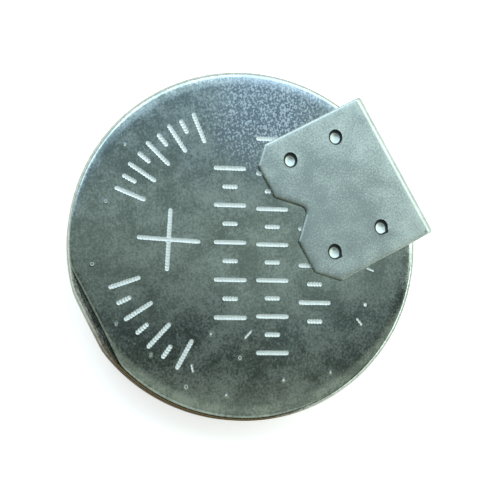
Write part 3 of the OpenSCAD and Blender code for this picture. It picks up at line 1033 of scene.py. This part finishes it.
def painted_reflection_mask(tree, place):
    """How much painted reflection and shade lies at a place: all of it below the edge and near its given
    place on the wall, none far from there, with a ragged fringe between."""
    height = add(tree, "ShaderNodeSeparateXYZ", (place,), "Z")
    below = add(tree, "ShaderNodeMapRange", (height, REFLECTION_FROM, REFLECTION_TO, 0, 1), **SMOOTH)
    away = add(tree, "ShaderNodeVectorMath", (place, PAINTED_REFLECTION_AT), "Value", operation="DISTANCE")
    fringe = add(tree, "ShaderNodeTexNoise", {
        "Vector": place, "Scale": per_metre(0.4), "Detail": 2.0, "Roughness": 0.55})
    away = add(tree, "ShaderNodeMath", (fringe, 4 * MM, away), operation="MULTIPLY_ADD")
    near = add(tree, "ShaderNodeMapRange", (away, 7 * MM, 12.5 * MM, 1, 0), **SMOOTH)
    return add(tree, "ShaderNodeMath", (below, near), operation="MULTIPLY")


# the brown is a painted reflection of a dark surface beside the cell, with painted shade
wall_steel = rolled_steel("drawn_stainless_steel", "#a9aea4", "#c6cabf", 0.21, 0.32, 0.008, 0.4,
                          painted_reflection="#685c44")
# the painted reflection and shade starts this far below the face
print("the film starts %.2f mm below the face" % (FACE_Z - REFLECTION_FROM / MM))

# %% [markdown]
# Where the point was struck into the face, the steel is torn and rough. It catches light from every
# side, so the marks look paler than the mirror round them, and less metallic.

# %% Peened steel
peened_steel, tree, place = new_material("peened_stainless_steel")
torn = add(tree, "ShaderNodeTexNoise", {
    "Vector": place, "Scale": per_metre(0.14), "Detail": 2.0, "Roughness": 0.55})
mottle = add(tree, "ShaderNodeTexNoise", {
    "Vector": place, "Scale": per_metre(0.3), "Detail": 3.0, "Roughness": 0.55})
colour = add(tree, "ShaderNodeMix", {FACTOR: mottle, DARK: "#cfd8d4", LIGHT: "#eef4f1"}, MIXED, **COLOURS)
bump = add(tree, "ShaderNodeBump", {"Height": torn, "Distance": 0.016 * MM})
shader = add(tree, "ShaderNodeBsdfPrincipled", {
    "Base Color": colour, "Metallic": 0.75, "Roughness": 0.5, "Normal": bump})
add(tree, "ShaderNodeOutputMaterial", {"Surface": shader})
print(peened_steel.name, "has", len(tree.nodes), "nodes")

# %% [markdown]
# The tab is strip with a satin nickel plating. The plating is a fine, even grain with no direction,
# drawn coarser than it is so that it shows. It spreads the light widely, so the tab is an even grey
# beside the mirror of the can. Painted shade makes it a little darker round one place and towards one
# side. The tool has burnished it in the bend and in the floors of the weld pits, where it is paler and
# shines more. The walls of the pits are painted near black, a painted shade.

# %% Satin nickel plating
PLATING_W = 0.12
# middle of the painted shade on the tab
PAINTED_SHADE_AT = (6.1 * MM, -1.9 * MM, PLATE_TOP * MM)
satin_nickel, tree, place = new_material("satin_nickel_plating")
grain = add(tree, "ShaderNodeTexNoise", {"Vector": place, "Scale": per_metre(PLATING_W), **FINE})
patches = add(tree, "ShaderNodeTexNoise", {
    "Vector": place, "Scale": per_metre(1.6), "Detail": 2.0, "Roughness": 0.5})
unevenness = add(tree, "ShaderNodeTexNoise", {
    "Vector": place, "Scale": per_metre(4.0), "Detail": 1.0, "Roughness": 0.55})
# painted shade: the tone is darker round one place and towards the +y side of the tab
away = add(tree, "ShaderNodeVectorMath", (place, PAINTED_SHADE_AT), "Value", operation="DISTANCE")
painted_shade_spot = add(tree, "ShaderNodeMapRange", (away, 1 * MM, 8.5 * MM, -0.16, 0.1), **SMOOTH)
side = add(tree, "ShaderNodeSeparateXYZ", (place,), "Y")
slope = add(tree, "ShaderNodeMapRange", (side, -6 * MM, 6 * MM, 0.08, -0.08))
tone = add(tree, "ShaderNodeMath", (grain, painted_shade_spot), operation="ADD")
tone = add(tree, "ShaderNodeMath", (tone, slope), operation="ADD")
tone = add(tree, "ShaderNodeMath", (patches, 0.4, tone), operation="MULTIPLY_ADD")
tone = add(tree, "ShaderNodeMapRange", (tone, 0.5, 0.9, 0, 1), **SMOOTH)
colour = add(tree, "ShaderNodeMix", {FACTOR: tone, DARK: "#99a5a2", LIGHT: "#c3cfc9"}, MIXED, **COLOURS)
rough = add(tree, "ShaderNodeMapRange", (patches, 0.3, 0.7, 0.38, 0.46), **SMOOTH)
bump = add(tree, "ShaderNodeBump", {"Height": grain, "Distance": 0.006 * MM})
bump = add(tree, "ShaderNodeBump", {"Height": unevenness, "Distance": 0.01 * MM, "Normal": bump})
shader = add(tree, "ShaderNodeBsdfPrincipled", {
    "Base Color": colour, "Metallic": 1.0, "Roughness": rough, "Normal": bump})
add(tree, "ShaderNodeOutputMaterial", {"Surface": shader})
burnished_nickel = rolled_steel("burnished_nickel_plating", "#9fa9a2", "#bbc4bc", 0.29, 0.36, 0.003)
print(satin_nickel.name, "has", len(tree.nodes), "nodes")

# %% [markdown]
# The gasket is natural polypropylene, moulded: a milky, waxy plastic that lets a little light in. The
# parts inside the cell can't be seen, but each still has its own finish: lithium is a soft metal that
# dulls, the separator is a felt of fine fibres, and the cathode is pressed black powder in a steel ring.

# %% Polypropylene and the cell's contents
polypropylene = plain_finish("moulded_polypropylene", "#d3d4c8", "#dddecf", 0.6, 0.42, 0.004, milky=0.3)
finishes = {
    "lithium_disc": plain_finish("soft_lithium", "#8f9297", "#b9bcc1", 1.4, 0.55, 0.01, metal=1.0),
    "separator": plain_finish("polypropylene_felt", "#e4e4dc", "#f4f4ef", 0.12, 0.95, 0.03),
    "cathode_pellet": plain_finish("pressed_black_powder", "#232324", "#363637", 0.1, 0.9, 0.012),
    "collector_ring": plain_finish("plain_stainless_steel", "#9aa0a2", "#a9afb0", 0.25, 0.34, 0.002,
                                   metal=1.0)}
print(len(finishes), "finishes for the contents")

# %% [markdown]
# Each new mesh has faces in up to three slots, so its finishes are added in the order of the slots. The
# solids of the frame get a finish each as well.

# %% Hand out the finishes
for piece, materials in ((can_piece, (can_steel, peened_steel, wall_steel)),
                         (tab_piece, (satin_nickel, burnished_nickel, pit_wall_shade)),
                         (gasket_piece, (polypropylene,)), (cap_piece, (cap_steel,))):
    for material in materials:
        piece.data.materials.append(material)
    slots = np.zeros(len(piece.data.polygons), int)
    piece.data.polygons.foreach_get("material_index", slots)
    print(piece.name, "has", dict(zip([m.name for m in materials], np.bincount(slots).tolist())), "faces")
finishes.update(positive_can=can_steel, terminal_tab=satin_nickel, gasket=polypropylene,
                negative_cap=cap_steel)
for name, material in finishes.items():
    node_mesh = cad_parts[name].data
    node_mesh.materials.clear()
    node_mesh.materials.append(material)
print(len(bpy.data.materials), "materials")

# %% [markdown]
# ## Floor, room and light
# The cell lies on a pale floor. Rays from the camera, and those that metal sends on, see a little
# extra light on it, which takes the lit floor to white and leaves the shadow. The floor shows only
# from above, so that the underside of the cell can be looked at too.

# %% Floor
FLOOR_HALF = 3000.0
FLOOR_DROP = 0.01
FLOOR_LIFT = 0.6
floor_mesh = bpy.data.meshes.new("floor")
floor_mesh.from_pydata([(x * FLOOR_HALF * MM, y * FLOOR_HALF * MM, -FLOOR_DROP * MM)
                        for x, y in ((-1, -1), (1, -1), (1, 1), (-1, 1))], [], [(0, 1, 2, 3)])
floor = bpy.data.objects.new("floor", floor_mesh)
bpy.context.collection.objects.link(floor)
floor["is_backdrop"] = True
board, tree, _ = new_material("matt_white_board")
seen = 0.0
for ray in ("Is Camera Ray", "Is Glossy Ray", "Is Transmission Ray"):
    seen = add(tree, "ShaderNodeMath", (add(tree, "ShaderNodeLightPath", out=ray), seen), operation="MAXIMUM")
strength = add(tree, "ShaderNodeMath", (seen, FLOOR_LIFT), operation="MULTIPLY")
matt = add(tree, "ShaderNodeBsdfDiffuse", {"Color": "#f0f0f0"})
lift = add(tree, "ShaderNodeEmission", {"Color": (1, 1, 1, 1), "Strength": strength})
lit = add(tree, "ShaderNodeAddShader", (matt, lift))
nothing = add(tree, "ShaderNodeBsdfTransparent")
behind = add(tree, "ShaderNodeNewGeometry", out="Backfacing")
both = add(tree, "ShaderNodeMixShader", (behind, lit, nothing))
add(tree, "ShaderNodeOutputMaterial", {"Surface": both})
floor_mesh.materials.append(board)
print("the floor is %.0f m wide" % (2 * FLOOR_HALF * MM))

# %% [markdown]
# A mirror shows the room, so the room is made as carefully as the cell. It is dim where the
# photographer leans over, and gets lighter towards the window side, which is the top of the picture.
# One soft glow overhead makes the middle of the face paler. Two rows of colours hold this, one for the
# room overhead and one for the room near the floor. Each colour has its place, which is how far a
# direction leans to the window side, from -1 to 1.

# %% Room
OVERHEAD = [(-1.0, "#2c302c"), (-0.45, "#3a3e39"), (-0.25, "#8b9287"), (-0.09, "#a2a89e"), (-0.02, "#989f94"),
            (0.002, "#949b91"), (0.02, "#3d4243"), (0.06, "#404a4c"), (0.09, "#828d8b"), (0.13, "#909b97"),
            (0.165, "#99a6a2"), (0.225, "#8b9ca2"), (0.265, "#7a8e9b"), (0.29, "#bcd5ea"), (0.36, "#d8eeff"),
            (1.0, "#f8ffff")]
AROUND_ROOM = [(-1.0, "#45402f"), (-0.7, "#4b4a40"), (-0.45, "#2c312f"), (-0.3, "#343a37"), (-0.1, "#8c9691"),
               (0.2, "#dce7e8"), (1.0, "#f8ffff")]
GLOW_RIGHT, GLOW_UP, GLOW_STRENGTH = 0.24, 0.103, 1.6
picture_up = Vector((up.x, up.y, 0)).normalized()
picture_right = Vector((right.x, right.y, 0)).normalized()
glow_at = (GLOW_RIGHT * picture_right + GLOW_UP * picture_up + Vector((0, 0, 1))).normalized()
world = bpy.data.worlds.new("room")
bpy.context.scene.world = world
world.use_nodes = True
tree = world.node_tree
tree.nodes.clear()
direction = add(tree, "ShaderNodeTexCoord", out="Generated")
across = add(tree, "ShaderNodeVectorMath", (direction, picture_up), "Value", operation="DOT_PRODUCT")
across = add(tree, "ShaderNodeMapRange", (across, -1, 1, 0, 1))
height = add(tree, "ShaderNodeSeparateXYZ", (direction,), "Z")


def room_ramp(colours):
    """A colour ramp with a stop at each place, moved from the range of -1 to 1 to that of 0 to 1."""
    ramp = add(tree, "ShaderNodeValToRGB", {"Fac": across})
    stops = ramp.node.color_ramp.elements
    stops.remove(stops[1])
    for i, (where, colour) in enumerate(colours):
        stop = stops.new((where + 1) / 2) if i else stops[0]
        stop.position, stop.color = (where + 1) / 2, linear(colour)
    return ramp


near_floor, near_ceiling = room_ramp(AROUND_ROOM), room_ramp(OVERHEAD)
overhead = add(tree, "ShaderNodeMapRange", (height, 0.35, 0.62, 0, 1), **SMOOTH)
room_light = add(tree, "ShaderNodeMix", {FACTOR: overhead, DARK: near_floor, LIGHT: near_ceiling},
                 MIXED, **COLOURS)
off_glow = add(tree, "ShaderNodeVectorMath", (direction, glow_at), "Value", operation="DISTANCE")
strength = add(tree, "ShaderNodeMapRange", (off_glow, 0.02, 0.12, GLOW_STRENGTH, 1.0), **SMOOTH)
background = add(tree, "ShaderNodeBackground", {"Color": room_light, "Strength": strength})
add(tree, "ShaderNodeOutputWorld", {"Surface": background})
print("the window side is", [round(v, 2) for v in picture_up])

# %% [markdown]
# Four soft panels light the cell, one for each window of the room. They are wide, so the shadow has no
# hard edge. They hang beyond what the flat face mirrors to the camera, so only its grain, its marks and
# its rounded edge catch them.

# %% Soft lights
CEILING = 500.0


def ceiling_panel(name, right_span, up_span, radiance, colour):
    """A soft panel overhead, facing down. Its spans are slopes from the upright, to the picture's right
    and up, so a span of 1 is 45 degrees. Its power is its radiance times pi times its area."""
    width, depth = ((high - low) * CEILING * MM for low, high in (right_span, up_span))
    lamp = bpy.data.lights.new(name, "AREA")
    lamp.shape, lamp.size, lamp.size_y = "RECTANGLE", width, depth
    lamp.energy = radiance * math.pi * width * depth
    lamp.color = linear(colour)[:3]
    panel = bpy.data.objects.new(name, lamp)
    middle = sum(right_span) / 2 * picture_right + sum(up_span) / 2 * picture_up + Vector((0, 0, 1))
    panel.location = middle * CEILING * MM
    panel.rotation_euler = (0, 0, math.atan2(picture_right.y, picture_right.x))
    bpy.context.collection.objects.link(panel)


ceiling_panel("window", (-0.9, 0.6), (0.5, 1.8), 1.9, "#d4ebff")
ceiling_panel("second_window", (0.58, 4.0), (0.1, 1.9), 1.9, "#f6fff6")
ceiling_panel("far_window", (-0.9, 0.6), (-1.6, -0.35), 0.5, "#f6fff4")
ceiling_panel("low_window", (1.3, 4.0), (-2.6, 0.1), 2.1, "#f6fff6")

# %% Finish
bpy.context.scene.view_settings.view_transform = "Standard"
shown_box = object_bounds()
for name, box in (("CAD", cad_box), ("shown", shown_box)):
    print(name, "box in mm:", [[round(c / MM, 3) for c in corner] for corner in box])
